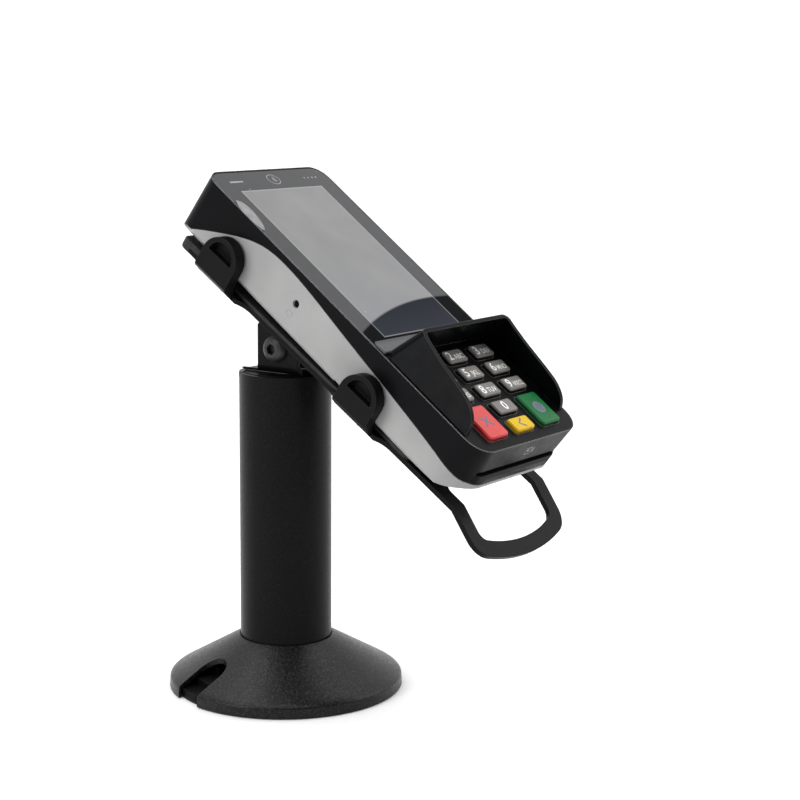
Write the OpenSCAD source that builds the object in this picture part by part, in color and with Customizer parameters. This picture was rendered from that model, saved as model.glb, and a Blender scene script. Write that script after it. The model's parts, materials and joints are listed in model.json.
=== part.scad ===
// Card payment terminal held in a gripping cradle on a tilt-and-swivel counter pole.
// Millimetres, +Z up. The origin is on the pole's axis, on the counter.
// The keypad end of the terminal faces -Y, and its screen end is high toward +Y.

/* [Stand] */
// diameter of the round base cover at the counter
base_d = 97.6; // [94:0.2:110]
// height at which the cone of the cover meets the pole
base_h = 21.5; // [20:0.5:30]
// outside diameter of the pole
pole_d = 38; // [36:0.5:40]
// height of the top of the pole tube
pole_top = 132.7; // [110:0.1:300]
// wall of the pole tube
pole_wall = 2; // [1.5:0.1:3]
// direction of the cable notch in the base, from +X
notch_dir = 162; // [0:1:360]
// width of the cable notch
notch_w = 14.4; // [8:0.2:18]
// number of screws that hold the base to the counter
counter_screws = 4; // [3:1:6]
// circle on which the counter screws stand
counter_pcd = 70; // [66:1:74]

/* [Tilt head] */
// slope of the cradle plate above level, as shown
tilt_shown = 34.8; // [5:0.1:65]
// height of the tilt pivot above the counter
pivot_z = 143.4; // [143:0.1:310]
// how far the tilt pivot stands in front of the pole's axis
pivot_front = 3.4; // [0:0.2:6]
// width of the yoke over both cheeks
yoke_w = 20.8; // [18:0.2:24]
// thickness of the yoke's sheet steel
yoke_t = 2; // [1.5:0.1:3]
// diameter of the pivot bolt
pivot_bolt_d = 8; // [6:0.5:8]

/* [Cradle] */
// width of the cradle plate and of its handle
plate_w = 64; // [60:1:70]
// thickness of the plate
plate_t = 2; // [1.5:0.1:3]
// height of the plate's underside above the tilt pivot
plate_z = 17.1; // [17:0.1:20]
// thickness of the rubber mat under the terminal
pad_t = 1.4; // [1:0.1:2]
// angle by which the handle is bent down from the plate
handle_bend = 21.4; // [0:0.1:40]
// length of the handle below its bend
handle_len = 25.4; // [20:0.1:40]
// width of each cradle clip
clip_w = 18; // [14:0.5:22]
// how far the clips stand above the tilt pivot
clip_top = 38.8; // [34:0.2:42]

/* [Terminal] */
// width of the terminal over its sides
term_w = 73; // [70:0.5:78]
// length of the terminal from keypad end to screen end
term_len = 162; // [158:1:170]
// angle between the terminal's face and the cradle plate
wedge = 2; // [1:0.1:3]
// width of the picture area of the screen
screen_w = 52.3; // [48:0.1:56]
// height of the picture area of the screen
screen_h = 87.1; // [80:0.1:92]
// width of the card slot's mouth
slot_w = 56; // [54.6:0.1:58]
// height of the card slot's mouth
slot_h = 1.5; // [1.2:0.1:2]
// how far the lip under the card slot stands out
lip = 1.5; // [1:0.1:3]

/* [Keypad] */
// width of a digit key
key_w = 12.8; // [11:0.1:14]
// height of a digit key up the face
key_h = 6.5; // [5.5:0.1:7]
// spacing of the key columns
key_dx = 19; // [18:0.1:20]
// spacing of the key rows
key_dy = 9.5; // [9:0.1:10]
// how far the key tops stand above the face
key_proud = 1.8; // [1.2:0.1:2.4]
// how far a key goes down when it is pressed
key_travel = 1; // [0.6:0.1:1]

/* [Privacy shield] */
// height of the shield's back wall above the face
shield_h = 15.2; // [10:0.2:20]
// wall of the shield
shield_t = 1.8; // [1.4:0.1:2.4]

/* [Fits] */
// running clearance of shafts and bolts in their bores, on the radius
run_fit = 0.05; // [0.02:0.01:0.1]
// gap all round a moving key
key_gap = 0.3; // [0.2:0.05:0.4]
// seam between the two halves of the terminal's case
seam = 0.25; // [0.1:0.05:0.4]

/* [Hidden] */
$fn = 64;
e = 0.01;
// stand
pole_r = pole_d / 2;
base_r = base_d / 2;
pad_h = 1;
plate_lo = 3;
plate_hi = 3;
floor_z = pad_h + plate_lo + plate_hi;
cover_t = 2;
rim_z = 4.1;
shoulder_r = base_r - 3.4;
shoulder_z = 6.9;
slope = (base_h - shoulder_z) / (shoulder_r - pole_r - 0.3);
flange_r = 31;
flange_t = 3;
core_lo = 112;
stud_r = 8;
groove_r = 12.6;
stop_r = 1.5;
swivel_end = 160;
// tilt head
plug_z = pole_top - yoke_t;
yoke_z = plug_z + 0.3;
cheek_x = yoke_w / 2 - yoke_t;
washer_t = 1;
knuckle_x = cheek_x - washer_t - 0.1;
knuckle_r = 6.5;
// where the pivot bolt passes through the cradle's frame, in y and z
bolt_at = [1.29, 0.81];
bolt_r = pivot_bolt_d / 2;
tilt_plate_t = 2.5;
// cradle
pw = plate_w / 2;
plate_end = 49.6;
end_r = 4;
bumper_t = 2.6;
bumper_top = 22.6;
bend_y = -109;
loop_top = -98;
loop_half = 25.2;
mat_z = plate_z + plate_t;
seat_z = mat_z + pad_t + 0.02;
tail_z = bumper_top + 0.05;
clip_y = [25, -56.8];
grip_x = term_w / 2 + 1.1;
clip_out = grip_x + 5.5;
// terminal: face plane, measured from the tilt pivot
face_y = 43.4;
face_z = 49.2;
tw = term_w / 2;
top_v = 12;
front_v = top_v - term_len;
wall = 2;
deck_t = 2;
glass_t = 1;
glass_lo = -96;
jaw_n = -11;
row1_v = -103.9;
mat_n = -4.6;
board_n = -9.2;
btn_v = -53;
btn_n = -11.7;
btn_r = 1.6;

// height of the terminal's flat underside, which lies on the mat and on the bumper
function under(v) = seat_z + (v + 121) * (tail_z - seat_z) / 133 - face_z
    - sin(wedge) * (v + face_y);

// points on a smooth curve through p
function spline(p, k = 4) = [
    for (i = [0 : len(p) - 2])
        let (a = p[max(i - 1, 0)], b = p[i], c = p[i + 1], d = p[min(i + 2, len(p) - 1)])
            for (j = [0 : k - 1])
                let (t = j / k)
                    0.5 * ((2 * b) + (c - a) * t + (2 * a - 5 * b + 4 * c - d) * t * t
                        + (3 * b - a - 3 * c + d) * t * t * t),
    p[len(p) - 1]
];

// line along the terminal's side where the two case halves meet
seam_pts = spline([
    [14, -27.8], [11, -26.6], [6, -23.2], [0, -19], [-8, -13.9], [-16, -9.2], [-24, -5.5],
    [-32, -3.5], [-42, -3], [-56, -3.9], [-75, -6.1], [-95, -8.3], [-115, -10.5], [-130, -12.4],
    [-141, -14.3], [-148, -16.5], [-156, -16.9]
]);

// underside of the terminal from its screen end to its nose
belly_pts = concat(
    [[top_v, under(top_v) + 1.4], [top_v - 1.4, under(top_v - 1.4)], [-121, under(-121)]],
    spline([[-126, under(-126) + 0.35], [-132, -24.6], [-138, -23.4], [-143, -22],
        [-147.5, -20.2], [front_v - lip, -18.4]])
);

module in_head() {
    translate([0, -pivot_front, pivot_z]) rotate([tilt_shown, 0, 0])
        translate([0, -bolt_at[0], -bolt_at[1]]) children();
}

module in_face() {
    in_head() rotate([wedge, 0, 0]) translate([0, face_y, face_z]) children();
}

// extrudes a (y, z) profile along x, centred
module along_x(w) {
    rotate([90, 0, 90]) translate([0, 0, -w / 2]) linear_extrude(w) children();
}

module both_sides() {
    children();
    mirror([1, 0, 0]) children();
}

module round_rect(w, h, r) {
    square([w, h - 2 * r], center = true);
    square([w - 2 * r, h], center = true);
    for (x = [-1, 1], y = [-1, 1]) translate([x * (w / 2 - r), y * (h / 2 - r)]) circle(r);
}

module slab(w, h, r, z0, z1) {
    translate([0, 0, z0]) linear_extrude(z1 - z0) round_rect(w, h, r);
}

// ---------------------------------------------------------------- stand

// rubber sheet under the base
module base_pad() {
    color("#1c1c1d") difference() {
        cylinder(r = base_r - 2.4, h = pad_h);
        translate([0, 0, -1]) cylinder(r = 12, h = pad_h + 2);
        for (i = [0 : counter_screws - 1]) rotate(27 + i * 360 / counter_screws)
            translate([counter_pcd / 2, 0, -1]) cylinder(r = 2.5, h = pad_h + 2);
    }
}

// heavy steel disc that is screwed to the counter
module base_plate() {
    color("#55565a") difference() {
        union() {
            translate([0, 0, pad_h]) cylinder(r = base_r - 2, h = plate_lo);
            translate([0, 0, pad_h + plate_lo - e]) cylinder(r = 39.4, h = plate_hi + e);
        }
        translate([0, 0, 0]) cylinder(r = 12, h = 20);
        for (i = [0 : counter_screws - 1]) rotate(27 + i * 360 / counter_screws)
            translate([counter_pcd / 2, 0, 0]) {
                cylinder(r = 2.5, h = 20);
                translate([0, 0, floor_z - 2.4]) cylinder(r1 = 2.5, r2 = 5, h = 2.5);
            }
        for (i = [0 : 3]) rotate(72 + i * 90) translate([25.5, 0, 0]) cylinder(r = 1.7, h = 20);
    }
}

// flange welded round the foot of the pole
module pole_flange() {
    color("#3a3b3d") difference() {
        translate([0, 0, floor_z]) cylinder(r = flange_r, h = flange_t);
        translate([0, 0, 0]) cylinder(r = pole_r + 0.02, h = 20);
        for (i = [0 : 3]) rotate(72 + i * 90) translate([25.5, 0, 0]) cylinder(r = 2.2, h = 20);
        rotate(notch_dir) translate([pole_r - 1, -5, 0]) cube([20, 10, 20]);
    }
}

module flange_screws() {
    color("#8d9093") for (i = [0, 2, 3]) rotate(72 + i * 90) translate([25.5, 0, 0])
        difference() {
            union() {
                translate([0, 0, 2]) cylinder(r = 1.65, h = floor_z + flange_t - 2);
                translate([0, 0, floor_z + flange_t]) cylinder(r = 3.5, h = 2.4);
            }
            translate([0, 0, floor_z + flange_t + 1.1]) cylinder(r = 1.45, h = 3, $fn = 6);
        }
}

// spun steel cone that slides down the pole over the plate
module base_cover() {
    bez = [for (i = [0 : 8]) let (t = i / 8, q = shoulder_z - slope * (base_r - 0.2 - shoulder_r))
        [(1 - t) * (1 - t) * shoulder_r + (1 - (1 - t) * (1 - t)) * (base_r - 0.2),
            (1 - t) * (1 - t) * shoulder_z + 2 * t * (1 - t) * q + t * t * rim_z]];
    hole_r = pole_r + 0.25;
    lift = cover_t * sqrt(1 + slope * slope);
    color("#2b2b2c") difference() {
        rotate_extrude($fn = 128) polygon(concat(
            [[hole_r, base_h], [pole_r + 0.8, base_h]], bez,
            [[base_r, 0.4], [base_r - 1.3, 0.4], [base_r - 1.3, rim_z - 0.3],
                [shoulder_r - 1, shoulder_z + slope - lift],
                [hole_r, base_h + slope * 0.4 - lift]]
        ));
        rotate(notch_dir) translate([37.8, 0, 0]) {
            translate([0, 0, -1]) cylinder(r = notch_w / 2, h = 40);
            translate([0, -notch_w / 2, -1]) cube([30, notch_w, 40]);
        }
    }
}

// rubber ring that keeps the cover from sliding up
module cover_ring() {
    color("#161617") translate([0, 0, base_h - cover_t * 2 - 0.5]) rotate_extrude()
        translate([pole_r + 0.95, 0]) circle(0.9, $fn = 24);
}

module pole_tube() {
    color("#232324") difference() {
        translate([0, 0, floor_z]) cylinder(r = pole_r, h = pole_top - floor_z, $fn = 128);
        translate([0, 0, floor_z - 1]) cylinder(r = pole_r - pole_wall, h = pole_top, $fn = 128);
        // cable window under the cover
        rotate(notch_dir) translate([0, -5, floor_z - 1]) cube([pole_r + 2, 10, 9]);
        // notch in the top rim
        rotate(138) translate([pole_r - pole_wall - 1, -1, pole_top - 2]) cube([5, 2, 3]);
        for (a = [20, 80]) rotate(a) translate([0, 0, core_lo + 10]) rotate([0, 90, 0])
            cylinder(r = 2.6, h = pole_r + 2);
    }
}

// plug in the pole's top that the yoke turns in
module swivel_core() {
    color("#6a6c70") difference() {
        translate([0, 0, core_lo]) cylinder(r = pole_r - pole_wall - 0.03, h = plug_z - core_lo);
        translate([0, 0, core_lo - 1]) cylinder(r = stud_r + run_fit, h = 40);
        translate([0, 0, plug_z - 1.1]) cylinder(r = 10.5, h = 3);
        // groove whose two ends stop the swivel
        translate([0, 0, plug_z - 2.4]) rotate(-90 - swivel_end - 7)
            rotate_extrude(angle = 2 * swivel_end + 14)
                translate([groove_r - stop_r - 0.1, 0]) square([2 * stop_r + 0.2, 4]);
        for (a = [20, 80]) rotate(a) translate([11.5, 0, core_lo + 10]) rotate([0, 90, 0])
            cylinder(r = 2.1, h = 10);
    }
}

module core_screws() {
    color("#1d1d1e") for (a = [20, 80]) rotate(a) translate([11.6, 0, core_lo + 10])
        rotate([0, 90, 0]) difference() {
            cylinder(r = 2.05, h = 6.4);
            translate([0, 0, 4.2]) cylinder(r = 1.2, h = 4, $fn = 6);
        }
}

// plastic thrust washer between plug and yoke
module swivel_washer() {
    color("#1f1f20") translate([0, 0, plug_z - 1.1]) difference() {
        cylinder(r = 10.4, h = yoke_z - plug_z + 1.08);
        translate([0, 0, -1]) cylinder(r = stud_r + 0.3, h = 4);
    }
}

// ---------------------------------------------------------------- tilt head

module cheek_outline() {
    hull() {
        translate([-10.7, yoke_z + yoke_t + 3.2 - pivot_z]) square([20.2, 0.5]);
        translate([9.5 - 1.5, 10.2 - 1.5]) circle(1.5);
        translate([-10.7 + 7, 10.2 - 7]) circle(7);
    }
}

// rounded foot of each cheek, that runs on over the pole's rim
module cheek_feet() {
    intersection() {
        translate([0, 0, yoke_z + yoke_t - e]) along_x(yoke_w)
            polygon([[-14.5, 0], [-14.5, 1.2], [-14.1, 3.6], [6.1, 3.6], [6.6, 1.4], [15.3, 1.2],
                [15.3, 0]]);
        both_sides() translate([-yoke_w / 2 + 3.5, 20, yoke_z + yoke_t - e + 3.5])
            rotate([90, 0, 0]) linear_extrude(40) intersection() {
                circle(3.5, $fn = 64);
                translate([-3.5, -3.5]) square([2.7, 7]);
            }
    }
}

// steel fork on a disc, with its hollow stud and its stop peg
module tilt_yoke() {
    color("#242425") difference() {
        union() {
            translate([0, 0, yoke_z]) cylinder(r = pole_r - pole_wall - 0.3, h = yoke_t);
            both_sides() translate([-yoke_w / 2 + yoke_t / 2, -pivot_front, pivot_z])
                along_x(yoke_t) cheek_outline();
            cheek_feet();
            translate([0, 0, core_lo - 8]) cylinder(r = stud_r, h = yoke_z - core_lo + 8 + e);
            rotate(-90) translate([groove_r, 0, plug_z - 2.2])
                cylinder(r = stop_r, h = yoke_z - plug_z + 2.2 + e);
        }
        translate([0, 0, core_lo - 9]) cylinder(r = 5, h = 30);
        translate([-30, -pivot_front, pivot_z]) rotate([0, 90, 0])
            cylinder(r = bolt_r + run_fit, h = 60);
    }
}

module swivel_spring() {
    color("#9a9da1") translate([0, 0, core_lo - 1.3]) difference() {
        cylinder(r = 12, h = 1.2);
        translate([0, 0, -1]) cylinder(r = stud_r + 0.1, h = 4);
    }
}

module swivel_nut() {
    color("#a9acb0") translate([0, 0, core_lo - 7.4]) difference() {
        cylinder(r = 12.6, h = 6, $fn = 6);
        translate([0, 0, -1]) cylinder(r = stud_r + 0.02, h = 9);
    }
}

module pivot_bolt() {
    head = [[0, 0], [5.6, 0], [5.6, 0.7], [5.3, 1.6], [4.6, 2.6], [3.4, 3.3], [0, 3.4]];
    color("#2e2f31") translate([-yoke_w / 2, -pivot_front, pivot_z]) rotate([0, -90, 0])
        difference() {
            union() {
                rotate_extrude() polygon(head);
                translate([0, 0, -yoke_w - 6.5]) cylinder(r = bolt_r, h = yoke_w + 6.5 + e);
            }
            translate([0, 0, 0.9]) rotate(15) cylinder(r = 2.3, h = 4, $fn = 6);
        }
}

module pivot_nut() {
    color("#9fa2a6") translate([yoke_w / 2 + 0.02, -pivot_front, pivot_z]) rotate([0, 90, 0])
        difference() {
            union() {
                cylinder(r = 7.4, h = 5, $fn = 6);
                translate([0, 0, 5 - e]) cylinder(r = 5.6, h = 1.2);
            }
            translate([0, 0, -1]) cylinder(r = bolt_r + 0.02, h = 9);
        }
}

module pivot_washers() {
    color("#1f1f20") both_sides() translate([knuckle_x + 0.05, -pivot_front, pivot_z])
        rotate([0, 90, 0]) difference() {
            cylinder(r = 6.3, h = washer_t);
            translate([0, 0, -1]) cylinder(r = bolt_r + 0.1, h = 4);
        }
}

// lug under the cradle that turns on the pivot bolt
module tilt_knuckle() {
    color("#303133") in_head() difference() {
        along_x(2 * knuckle_x) hull() {
            translate(bolt_at) circle(knuckle_r);
            translate([-11, plate_z - tilt_plate_t - 2.5]) square([22, 2.5]);
        }
        translate([0, bolt_at[0], bolt_at[1]]) rotate([0, 90, 0])
            cylinder(r = bolt_r + run_fit, h = 60, center = true);
        for (y = [-8, 8]) translate([0, y, 8.5]) cylinder(r = 1.6, h = 20);
    }
}

module knuckle_screws() {
    color("#8d9093") in_head() for (y = [-8, 8]) translate([0, y, 0]) difference() {
        union() {
            translate([0, 0, 9]) cylinder(r = 1.55, h = plate_z - 9 - 0.1);
            translate([0, 0, plate_z - 2]) cylinder(r1 = 1.55, r2 = 3.3, h = 1.9);
        }
        translate([0, 0, plate_z - 1.2]) cylinder(r = 1.1, h = 3, $fn = 6);
    }
}

module tilt_plate() {
    color("#2a2b2c") in_head() difference() {
        slab(40, 56, 4, plate_z - tilt_plate_t, plate_z - 0.02);
        for (y = [-8, 8]) translate([0, y, 0]) {
            cylinder(r = 1.8, h = 30);
            translate([0, 0, plate_z - 2.02]) cylinder(r1 = 1.65, r2 = 3.45, h = 2.05);
        }
        for (x = [-1, 1], y = [-1, 1]) translate([x * 14, y * 22, 0]) cylinder(r = 1.6, h = 30);
    }
}

// ---------------------------------------------------------------- cradle

// outline from low to up of the bend, bowed at its low end
module handle_outline(half, low, up, bow, r) {
    offset(r) offset(-r) intersection() {
        translate([-half, -low]) square([2 * half, low + up]);
        translate([0, bow - low]) circle(bow, $fn = 180);
    }
}

// steel plate that ends in a bent-down handle loop
module cradle_plate() {
    cb = cos(handle_bend);
    sb = sin(handle_bend);
    far = handle_len + 3;
    color("#232425") in_head() difference() {
        union() {
            along_x(plate_w) polygon([
                [plate_end, plate_z], [plate_end, mat_z], [bend_y, mat_z],
                [bend_y - far * cb, mat_z - far * sb],
                [bend_y - far * cb + plate_t * sb, mat_z - far * sb - plate_t * cb],
                [bend_y + plate_t * tan(handle_bend / 2), plate_z]
            ]);
            // flares that run out to the clips on both sides of each
            both_sides() for (y = clip_y, m = [0, 1]) translate([0, y, plate_z])
                mirror([0, m, 0]) linear_extrude(plate_t) difference() {
                    translate([pw - 2, clip_w / 2 + 0.05]) square([5.2, 9]);
                    translate([pw + 9, clip_w / 2 + 9.05]) circle(9);
                }
        }
        // rounded corners of the upper end
        translate([0, plate_end - 6, plate_z - 1]) linear_extrude(plate_t + 2) difference() {
            translate([-40, 0]) square([80, 10]);
            translate([0, -24]) round_rect(plate_w, 60, end_r);
        }
        // rounded low end of the handle
        translate([0, bend_y, mat_z]) rotate([handle_bend, 0, 0])
            translate([0, 0, -plate_t - 3]) linear_extrude(plate_t + 6) difference() {
                translate([-40, -50]) square([80, 45]);
                handle_outline(pw, handle_len, 40, 88, 9);
            }
        // the loop's opening, across the bend
        translate([0, bend_y, mat_z]) rotate([handle_bend / 2, 0, 0])
            translate([0, 0, -20]) linear_extrude(40) handle_outline(loop_half,
                (handle_len - 6.5) * cos(handle_bend / 2), loop_top - bend_y, 75, 4.5);
        // long holes in which the clips are set, then screw holes for the tilt plate
        for (s = [-1, 1], y = clip_y) translate([s * 27, y, plate_z - 1])
            linear_extrude(plate_t + 2) round_rect(7, 3.6, 1);
        for (x = [-1, 1], y = [-1, 1]) translate([x * 14, y * 22, 0]) {
            cylinder(r = 2.1, h = 30);
            translate([0, 0, mat_z - 2.2]) cylinder(r1 = 1.7, r2 = 4.1, h = 2.4);
        }
        translate([0, 38, plate_z - 1]) linear_extrude(plate_t + 2) round_rect(24, 10, 4.5);
    }
}

module plate_screws() {
    color("#8d9093") in_head() for (x = [-1, 1], y = [-1, 1]) translate([x * 14, y * 22, 0])
        difference() {
            union() {
                translate([0, 0, plate_z - tilt_plate_t - 0.6])
                    cylinder(r = 1.55, h = plate_t + tilt_plate_t + 0.4);
                translate([0, 0, mat_z - 1.8]) cylinder(r1 = 1.9, r2 = 3.6, h = 1.7);
            }
            translate([0, 0, mat_z - 1.1]) cylinder(r = 1.1, h = 3, $fn = 6);
        }
}

// outline of the plate's upper end, carried out by d
module end_outline(d) {
    translate([0, plate_end + d - 30]) round_rect(plate_w, 60, end_r);
}

module cradle_mat() {
    nose = (21.7 - plate_z) / 2;
    color("#18181a") in_head() difference() {
        union() {
            translate([0, 0, mat_z + 0.02]) linear_extrude(pad_t - 0.02)
                translate([0, (plate_end - 84) / 2]) round_rect(plate_w, plate_end + 84, end_r);
            // bumper with a round nose over the end of the plate, with a ridge for the terminal
            intersection() {
                along_x(plate_w) union() {
                    translate([40, plate_z]) square([plate_end + bumper_t - nose - 40, 2 * nose]);
                    translate([plate_end + bumper_t - nose, plate_z + nose]) circle(nose);
                }
                translate([0, 0, 10]) linear_extrude(20) end_outline(bumper_t);
            }
            along_x(plate_w - 6) polygon([[41, 21], [44.9, 21.9], [46, bumper_top - 0.25],
                [47, bumper_top - 0.15], [49.4, bumper_top - 0.15], [50.4, 21]]);
        }
        translate([0, 0, plate_z - 1]) linear_extrude(plate_t + 1.02) end_outline(0.05);
        for (s = [-1, 1], y = clip_y) translate([s * 27, y, mat_z - 1])
            cylinder(r = 4.5, h = 3.6);
        translate([0, 38, mat_z - 1]) linear_extrude(9) round_rect(24, 10, 4.5);
    }
}

// one gripping clip: a foot under the plate and a rounded cheek up the terminal's side
module clip_body(y0, top) {
    translate([0, y0, 0]) difference() {
        intersection() {
            translate([0, clip_w / 2, 0]) rotate([90, 0, 0]) linear_extrude(clip_w) polygon([
                [21, plate_z - 1.3], [32.6, plate_z - 1.3], [34, plate_z - 0.7],
                [clip_out - 0.9, 21.6], [clip_out, 22.9], [clip_out, 50],
                [grip_x, 50], [grip_x, 22.6], [pw + 0.9, plate_z + 0.9],
                [pw + 0.9, plate_z - 0.02], [21, plate_z - 0.02]
            ]);
            along_x(120) union() {
                translate([-clip_w / 2, 0]) square([clip_w, top - clip_w / 2]);
                translate([0, top - clip_w / 2]) circle(clip_w / 2);
            }
        }
        // half-round finger recess in the cheek
        translate([clip_out + 5 - 3.4, 0, top - 8]) along_x(10) intersection() {
            circle(6.3);
            translate([-10, 0]) square([20, 20]);
        }
        translate([27, 0, 0]) cylinder(r = 1.7, h = 30);
    }
}

module clip_upper_right() { color("#2d2e30") in_head() clip_body(clip_y[0], clip_top + 0.9); }
module clip_lower_right() { color("#2d2e30") in_head() clip_body(clip_y[1], clip_top); }
module clip_upper_left() { mirror([1, 0, 0]) clip_upper_right(); }
module clip_lower_left() { mirror([1, 0, 0]) clip_lower_right(); }

module clip_screws() {
    color("#8d9093") in_head() both_sides() for (y = clip_y) translate([27, y, 0]) {
        translate([0, 0, plate_z - 3.4]) cylinder(r = 1.6, h = plate_t + 3.5);
        translate([0, 0, mat_z + 0.02]) cylinder(r = 3.6, h = 1.3);
    }
}

module clip_nuts() {
    color("#a9acb0") in_head() both_sides() for (y = clip_y) translate([27, y, plate_z - 3.13])
        difference() {
            cylinder(r = 3.4, h = 1.8, $fn = 6);
            translate([0, 0, -1]) cylinder(r = 1.62, h = 5);
        }
}

// soft faces on the inside of the clips
module clip_liners() {
    color("#141415") in_head() both_sides() for (y = clip_y)
        translate([tw + 0.02 + 0.53, y, 30.5]) along_x(1.06) round_rect(14, 10, 3);
}

// ---------------------------------------------------------------- terminal case

// body whose front corners grow rounder toward the underside
module body(inset) {
    intersection() {
        union() {
            hull() for (x = [-1, 1]) {
                translate([x * (tw - 7.5), top_v - 7.5, -34])
                    cylinder(r = 7.5 - inset, h = 34 - inset, $fn = 40);
                translate([x * (tw - 9.5), front_v + 9.5, -1 - inset])
                    cylinder(r = 9.5 - inset, h = 1, $fn = 40);
                translate([x * (tw - 16), front_v + 16, -34])
                    cylinder(r = 16 - inset, h = 0.1, $fn = 40);
            }
            // lip under the card slot
            translate([0, front_v - lip + 20, 0])
                slab(66 - 2 * inset, 40 - 2 * inset, 11 - inset, -30, jaw_n - slot_h - inset);
        }
        along_x(100) offset(-inset) polygon(concat(
            [[front_v - lip, jaw_n - slot_h - 1.4], [front_v - lip + 0.5, jaw_n - slot_h - 0.4],
                [front_v - 0.9, jaw_n - slot_h], [front_v - 0.9, 0]],
            [[top_v + 6, 0], [top_v + 6, under(top_v) + 1.4]], belly_pts));
        rotate([90, 0, 0]) linear_extrude(400, center = true) offset(-inset) polygon([
            [-tw, 10], [tw, 10], [tw, -22.3], [tw - 9, -29.2], [9 - tw, -29.2], [-tw, -22.3]]);
    }
}

module above_seam(d) {
    along_x(120) polygon(concat([for (p = seam_pts) p + [0, d]], [[-170, 20], [30, 20]]));
}

module below_seam(d) {
    along_x(120) polygon(concat([for (p = seam_pts) p - [0, d]], [[-170, -60], [30, -60]]));
}

function key_v(row) = row1_v - row * key_dy;

module key_hole(x, v, w, h, r) {
    translate([x, v, -6]) linear_extrude(12)
        round_rect(w + 2 * key_gap, h + 2 * key_gap, r + key_gap);
}

tall_h = key_h + key_dy;
tall_v = (key_v(3) + key_v(4)) / 2;
boss_uv = [[-30.5, -2], [30.5, -2], [-31.2, -84], [31.2, -84]];
head_n = -23.9;

module top_case() {
    color("#2f3032") in_face() difference() {
        union() {
            intersection() {
                difference() {
                    body(0);
                    intersection() {
                        body(wall);
                        translate([-60, -200, -60]) cube([120, 300, 60 - deck_t]);
                    }
                }
                above_seam(seam / 2);
            }
            for (p = boss_uv) translate([p[0], p[1], -9.3]) cylinder(r = 3, h = 9.3 - deck_t + e);
        }
        // pocket and window for the glass and the screen
        translate([0, (top_v - 0.8 + glass_lo) / 2, 0])
            slab(term_w - 1.4, top_v - 0.8 - glass_lo, 6.6, -glass_t - 0.1, 3);
        translate([0, -screen_h / 2, 0]) slab(58, screen_h + 7, 1.5, -8, 3);
        // card slot
        translate([-slot_w / 2, front_v - 5, jaw_n - slot_h]) cube([slot_w, 12, slot_h]);
        // holes for the keys
        for (r = [0 : 2], c = [-1 : 1]) key_hole(c * key_dx, key_v(r), key_w, key_h, 1.2);
        key_hole(0, key_v(3), key_w, key_h, 1.2);
        key_hole(0, key_v(4), key_w, key_h, 1.2);
        for (c = [-1, 1]) key_hole(c * key_dx, tall_v, key_w, tall_h, 1.4);
        for (p = boss_uv) translate([p[0], p[1], -12]) cylinder(r = 1.2, h = 9);
        // data and power socket in the screen end
        translate([0, top_v - 3, -17]) rotate([-90, 0, 0]) linear_extrude(10)
            round_rect(9.6, 3.8, 1.8);
    }
}

module rear_shell() {
    color("#b9b9b6") in_face() difference() {
        union() {
            intersection() {
                difference() {
                    body(0);
                    body(wall);
                }
                below_seam(seam / 2);
            }
            intersection() {
                body(0.3);
                for (p = boss_uv) translate([p[0], p[1], -30]) cylinder(r = 3.3, h = 29.8 + board_n);
            }
        }
        for (p = boss_uv) translate([p[0], p[1], -40]) {
            cylinder(r = 1.5, h = 60);
            cylinder(r = 2.7, h = 40 + head_n + 2);
        }
        // hole for the recessed button, in the left side
        translate([-tw - 2, btn_v, btn_n]) rotate([0, 90, 0]) cylinder(r = btn_r, h = 10);
    }
}

module case_screws() {
    color("#8d9093") in_face() for (p = boss_uv) translate([p[0], p[1], 0]) {
        translate([0, 0, head_n + 1.9]) cylinder(r = 1.15, h = -7.5 - head_n);
        translate([0, 0, head_n]) cylinder(r = 2.5, h = 1.95);
    }
}

module display_glass() {
    color("#101113") in_face() translate([0, (top_v - 0.8 + glass_lo) / 2, 0])
        slab(term_w - 1.7, top_v - 1.1 - glass_lo, 6.4, -glass_t - 0.08, -0.08);
}

module display_panel() {
    color("#8f9499") in_face() translate([0, -screen_h / 2, 0])
        slab(57.4, screen_h + 6.4, 1, -4.6, -glass_t - 0.12);
}

// pull tab of the glass's protective film
module film_tab() {
    edge = spline([[-34.7, -5.5], [-32.6, -6.6], [-31.4, -9.5], [-31.2, -13.5], [-32.2, -18.5],
        [-34, -22.6], [-35.6, -23.4], [-36.6, -18], [-36.8, -12.5], [-36, -8.5]]);
    color("#c9ccd0") in_face() translate([0, 0, 0.03]) linear_extrude(0.3) polygon(edge);
}

module privacy_shield() {
    module ring(d) {
        hull() {
            translate([0, -119.1, 0.05]) linear_extrude(0.1)
                round_rect(69.2 - 2 * d, 49.6 - 2 * d, 4.5 - d);
            translate([0, -124.7, shield_h + 0.5]) linear_extrude(0.1)
                round_rect(59.8 - 2 * d, 50.8 - 2 * d, 3.6 - d);
        }
    }
    top = spline([[-92, shield_h], [-99.6, shield_h], [-105.5, 13.8], [-113, 12.2], [-121, 10.9],
        [-128, 9.7], [-132, 8.7], [-135.6, 6.9], [-138.4, 4.2], [-140, 0]]);
    color("#343537") in_face() {
        difference() {
            intersection() {
                ring(0);
                along_x(120) polygon(concat(top, [[-140.2, -1], [-92, -1]]));
            }
            ring(shield_t);
            translate([0, -119.1, -1]) linear_extrude(1.2)
                round_rect(69.2 - 2 * shield_t, 49.6 - 2 * shield_t, 4.5 - shield_t);
            translate([0, -124.7, shield_h + 0.5]) linear_extrude(2)
                round_rect(59.8 - 2 * shield_t, 50.8 - 2 * shield_t, 3.6 - shield_t);
        }
        // ramp from the glass up to the shield's back wall
        intersection() {
            along_x(71)
                polygon([[-88.4, 0.05], [-88.4, 0.2], [-94.7, 1.1], [-95.6, 1.1], [-95.6, 0.05]]);
            translate([0, -103.4, 0]) linear_extrude(9) round_rect(71, 30, 2);
        }
    }
}

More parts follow.
